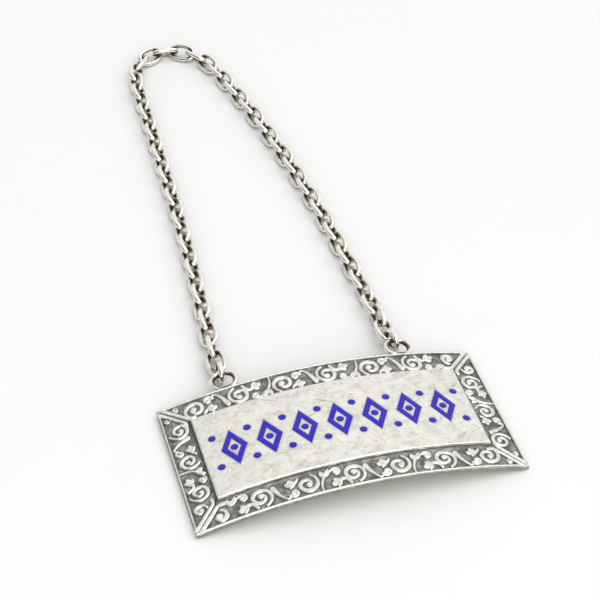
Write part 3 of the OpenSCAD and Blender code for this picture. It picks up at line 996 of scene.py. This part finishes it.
def oxidised_silver(f):
    """Border silver: a dark matted ground with painted shade beside the relief, and the relief rubbed bright
    on its tops.
    """
    material, n, where = new_material("Oxidised silver")
    wear = place_wear(n, where, 1.3)
    tone = n.noise(where, 0.8, 5.0, 0.6)
    tint = n.noise(where, 0.55, 3.0, 0.5)
    grit = n.noise(where, 6.0, 4.0, 0.65)
    ground = n.films(f.oxide,
                     (n.span(tone, 0.35, 0.68), 1.0, f.oxide_pale),
                     (n.span(tint, 0.5, 0.7), 0.6, f.oxide_tint),
                     # Painted shade: the ground is darkened beside the relief and the rim.
                     (n.mark("nook_shade"), 0.7, tuple(0.5 * c for c in f.oxide)))
    # The relief mark carries the rubbed tops and the rims' painted light.
    rub_and_light = n.total((n.mark("relief"), 1.0), (n.math("SUBTRACT", grit, 0.5), 0.45))
    rubbed = n.span(rub_and_light, 0.1, 0.6)
    bright = n.films(f.bright, (wear["Clouds"], 0.6, f.worn))
    height = n.math("MULTIPLY", grit, n.span(rubbed, 0.0, 1.0, 1.0, 0.3))
    return finished(material, n, Base_Color=n.mix(rubbed, ground, bright), Metallic=1.0,
                    Roughness=n.span(rubbed, 0.0, 1.0, 0.55, 0.3), Normal=n.bump(0.5, 0.05 * MM, height))


def wire_silver(f):
    """Silver wire of the chain, rings and loops, with brown and olive tarnish and painted shade inside, at
    the ends and under the wire.
    """
    material, n, where = new_material("Wire silver")
    wear = place_wear(n, where, 1.6)
    patch = n.noise(where, 0.6, 4.0, 0.6)
    # This mark paints tarnish and shade inside, at the ends and under the wire.
    grime_and_shade = n.total((n.mark("grime_and_shade"), 1.0), (n.math("SUBTRACT", patch, 0.5), 0.7))
    dark = n.span(grime_and_shade, 0.22, 0.66)
    dark_tone = n.mix(n.span(n.noise(where, 0.9, 2.0), 0.4, 0.65), f.tarnish, f.tarnish_green)
    base = n.films(f.wire,
                   (wear["Clouds"], 0.22, f.worn),
                   (wear["Scratches"], 0.25, f.worn),
                   (dark, 0.95, dark_tone))
    return finished(material, n, Base_Color=base, Metallic=1.0, Roughness=n.span(dark, 0.0, 1.0, 0.12, 0.4),
                    Normal=n.bump(0.35, 0.04 * MM, n.noise(where, 3.0, 5.0, 0.65)))


def blue_enamel(f):
    """Blue enamel: glossy glass with cloudy depth, fine pits and a darker edge."""
    material, n, where = new_material("Blue enamel")
    cloud = n.noise(where, 0.9, 5.0, 0.6)
    pits = n.noise(where, 5.0, 3.0, 0.5)
    base = n.films(f.enamel,
                   (n.span(n.mark("rim"), 0.62, 1.0), 0.7, f.enamel_deep),
                   (n.span(cloud, 0.4, 0.75), 0.35, f.enamel_deep))
    return finished(material, n, Base_Color=base, Metallic=0.0, Roughness=n.span(cloud, 0.2, 0.8, 0.2, 0.36),
                    Specular_IOR_Level=0.25, Normal=n.bump(0.2, 0.03 * MM, pits))


def white_table(f):
    """The table: white, with faint smudges."""
    material, n, where = new_material("White table")
    smudge = n.span(n.noise(where, 0.035, 6.0, 0.6), 0.45, 0.8)
    base = n.films(f.table, (smudge, 0.5, tuple(0.975 * c for c in f.table)))
    return finished(material, n, Base_Color=base, Metallic=0.0, Roughness=0.6)


FINISHED = {}


def finish_of(make):
    """A finish made once and shared by all pieces that have it."""
    key = make.__name__
    if key not in FINISHED:
        FINISHED[key] = make(settings().finish)
    return FINISHED[key]


# Operators


class WINELABEL_OT_stage(bpy.types.Operator):
    """Set the camera, the white table and soft studio light"""

    bl_idname = "winelabel.stage"
    bl_label = "Stage"

    def execute(self, context):
        st = settings().stage
        scene = context.scene
        scene.view_settings.view_transform = "Standard"
        back = Vector((math.cos(st.elevation) * math.sin(st.azimuth),
                       -math.cos(st.elevation) * math.cos(st.azimuth), math.sin(st.elevation)))
        camera = bpy.data.objects.new("Camera", bpy.data.cameras.new("Camera"))
        camera.data.lens = st.lens
        camera.data.sensor_width = 36.0
        camera.data.clip_start = 0.01
        camera.location = Vector(st.target) + back * st.distance
        camera.rotation_euler = (-back).to_track_quat("-Z", "Y").to_euler()
        scene.collection.objects.link(camera)
        scene.camera = camera

        half = st.table_size / 2
        mesh = bpy.data.meshes.new("table")
        mesh.from_pydata([(-half, -half, 0), (half, -half, 0), (half, half, 0), (-half, half, 0)], [],
                         [(0, 1, 2, 3)])
        mesh.materials.append(finish_of(white_table))
        table = bpy.data.objects.new("table", mesh)
        scene.collection.objects.link(table)

        self.lamp(scene, "key", st.key_place, st.key_size, st.key_power)
        self.lamp(scene, "front", st.front_place, st.front_size, st.front_power)
        self.world(scene, st.fill)
        return {"FINISHED"}

    def lamp(self, scene, name, place, size, power):
        """A square soft lamp that faces the label."""
        light = bpy.data.lights.new(name, "AREA")
        light.energy = power
        light.size = size
        lamp = bpy.data.objects.new(name, light)
        lamp.location = place
        lamp.rotation_euler = (-Vector(place)).to_track_quat("-Z", "Y").to_euler()
        scene.collection.objects.link(lamp)

    def world(self, scene, fill):
        """Even white light from all round.

        What is seen directly is white. What is mirrored is white above, behind and to the right, and
        greyer low down, in front and to the left.
        """
        world = bpy.data.worlds.new("Studio")
        world.use_nodes = True
        n = Nodes(world.node_tree)
        white, grey = (1.0, 1.0, 1.0), (0.1, 0.1, 0.095)
        rays = n.add("ShaderNodeLightPath").outputs
        way = n.add("ShaderNodeSeparateXYZ", _0=n.add("ShaderNodeTexCoord").outputs["Object"]).outputs
        lit = n.total((way["Z"], 0.8), (way["Y"], 0.5), (way["X"], 0.25))
        mirrored = n.mix(n.span(lit, -0.2, 0.85), grey, white)
        shown = n.mix(rays["Is Camera Ray"], mirrored, white)
        seen = n.math("MAXIMUM", rays["Is Camera Ray"],
                      n.math("MAXIMUM", rays["Is Glossy Ray"], rays["Is Transmission Ray"]))
        soft = n.add("ShaderNodeBackground", Color=white, Strength=fill)
        clear = n.add("ShaderNodeBackground", Color=shown, Strength=1.0)
        both = n.add("ShaderNodeMixShader", _0=seen, _1=soft.outputs[0], _2=clear.outputs[0])
        n.add("ShaderNodeOutputWorld", _0=both.outputs[0])
        scene.world = world


class WINELABEL_OT_plate(bpy.types.Operator):
    """Build the arched plate with its raised panel"""

    bl_idname = "winelabel.plate"
    bl_label = "Plate"

    def execute(self, context):
        make_piece("plate", plate_surface(settings()), finish_of(satin_silver), LABEL_BODY, "label_plate",
                   sharp=50.0)
        return {"FINISHED"}


class WINELABEL_OT_border(bpy.types.Operator):
    """Build the four scroll strips of the border"""

    bl_idname = "winelabel.border"
    bl_label = "Border"

    def execute(self, context):
        s = settings()
        b = s.border
        in_w, in_h = panel_half(s)
        half_w, half_h = s.plate.width / 2, s.plate.height / 2
        long_edge = (b.long_band, in_w, half_w, b.long_scrolls, b.long_step, b.long_shift)
        side_edge = (b.side_band, in_h, half_h, b.side_scrolls, b.side_step, b.side_shift)
        # Rubbing and painted light: the bottom rim is brightest, the others are painted dimmer.
        strips = {
            "border_top": (long_edge, b.rim_rub_and_light, lambda q, t: (-q, in_h + t)),
            "border_bottom": (long_edge, 1.0, lambda q, t: (q, -in_h - t)),
            "border_right": (side_edge, b.rim_rub_and_light, lambda q, t: (in_w + t, q)),
            "border_left": (side_edge, b.rim_rub_and_light, lambda q, t: (-in_w - t, -q)),
        }
        for node, strip in strips.items():
            make_piece("relief_" + node, strip_surface(s, *strip), finish_of(oxidised_silver), LABEL_BODY,
                       node, sharp=60.0)
        return {"FINISHED"}


class WINELABEL_OT_enamel(bpy.types.Operator):
    """Build the enamel lozenges and roundels"""

    bl_idname = "winelabel.enamel"
    bl_label = "Enamel"

    def execute(self, context):
        s = settings()
        lozenges, roundels = enamel_places(s)
        for name, node, make, places in (
            ("lozenge_bands", "enamel_lozenges", lozenge_surface, lozenges),
            ("roundels", "enamel_roundels", roundel_surface, roundels),
        ):
            skin = joined([make(x, y, s) for x, y in places])
            make_piece(name, skin, finish_of(blue_enamel), LABEL_BODY, node, sharp=50.0)
        return {"FINISHED"}


class WINELABEL_OT_loops(bpy.types.Operator):
    """Build the two loops soldered to the plate's top edge"""

    bl_idname = "winelabel.loops"
    bl_label = "Loops"

    def execute(self, context):
        s = settings()
        c, p = s.chain, s.plate
        loops = chain_layout(s)["loops"]
        tip = np.arcsin(loops[:, 0] / (arch_axis(p)[0] + loop_height(s)))
        reach = c.loop_width / 2 * np.stack([np.cos(tip), np.zeros(2), -np.sin(tip)], -1)
        skins = oval_surfaces(loops - reach, loops + reach, np.zeros(2), c.loop_width - 2 * c.loop_wire,
                              c.loop_width, c.loop_wire, np.zeros(2), swell=0.3, spread=0.06, dirt=-0.1)
        for node, (points, faces, marks) in zip(("loop_left", "loop_right"), skins):
            points[:, 1] = np.maximum(points[:, 1], p.height / 2)
            make_piece("soldered_" + node, (points, faces, marks), finish_of(wire_silver), LABEL_BODY,
                       node)
        return {"FINISHED"}


class WINELABEL_OT_rings(bpy.types.Operator):
    """Build the two jump rings"""

    bl_idname = "winelabel.rings"
    bl_label = "Jump rings"

    def execute(self, context):
        s = settings()
        c = s.chain
        laid = chain_layout(s)
        skins = oval_surfaces(laid["ring_near"], laid["ring_tip"], np.full(2, math.pi / 2), c.ring_inner,
                              c.ring_width, c.ring_wire, np.array([0.3, 0.7]))
        for node, skin in zip(("ring_left", "ring_right"), skins):
            make_piece("jump_" + node, skin, finish_of(wire_silver), node, node)
        return {"FINISHED"}


class WINELABEL_OT_chain(bpy.types.Operator):
    """Build the links of the chain, three to a run"""

    bl_idname = "winelabel.chain"
    bl_label = "Chain"

    def execute(self, context):
        s = settings()
        c = s.chain
        laid = chain_layout(s)
        hinges, roll = laid["hinges"], laid["roll"]
        seam = (np.arange(len(roll)) * SEAM_STEP) % 1.0
        links = oval_surfaces(hinges[:-1], hinges[1:], roll, c.inner, c.width, c.wire, seam, full=0.9)
        for k in range(c.runs):
            node = "chain_run_%02d" % (k + 1)
            make_piece("links_%02d" % (k + 1), joined(links[3 * k:3 * k + 3]), finish_of(wire_silver), node,
                       node)
        return {"FINISHED"}


class WINELABEL_PT_panel(bpy.types.Panel):
    """Buttons that build the label, in order"""

    bl_idname = "WINELABEL_PT_panel"
    bl_label = "Wine Label"
    bl_space_type = "VIEW_3D"
    bl_region_type = "UI"
    bl_category = "Wine Label"

    def draw(self, context):
        for operator in OPERATORS:
            self.layout.operator(operator.bl_idname)


GROUPS = (PlateSizes, BorderSizes, EnamelSizes, ChainSizes, Finishes, StageSettings, WineLabelSettings)
OPERATORS = (WINELABEL_OT_stage, WINELABEL_OT_plate, WINELABEL_OT_border, WINELABEL_OT_enamel,
             WINELABEL_OT_loops, WINELABEL_OT_rings, WINELABEL_OT_chain)
CLASSES = (*GROUPS, *OPERATORS, WINELABEL_PT_panel)


def register():
    """Registers the classes and puts the settings on the scene."""
    for cls in CLASSES:
        bpy.utils.register_class(cls)
    bpy.types.Scene.wine_label = PointerProperty(type=WineLabelSettings)


def unregister():
    """Removes the settings and the classes."""
    del bpy.types.Scene.wine_label
    for cls in reversed(CLASSES):
        bpy.utils.unregister_class(cls)


def main():
    """Builds the whole label."""
    register()
    bpy.ops.winelabel.stage()
    bpy.ops.winelabel.plate()
    bpy.ops.winelabel.border()
    bpy.ops.winelabel.enamel()
    bpy.ops.winelabel.loops()
    bpy.ops.winelabel.rings()
    bpy.ops.winelabel.chain()


if __name__ == "__main__":
    main()
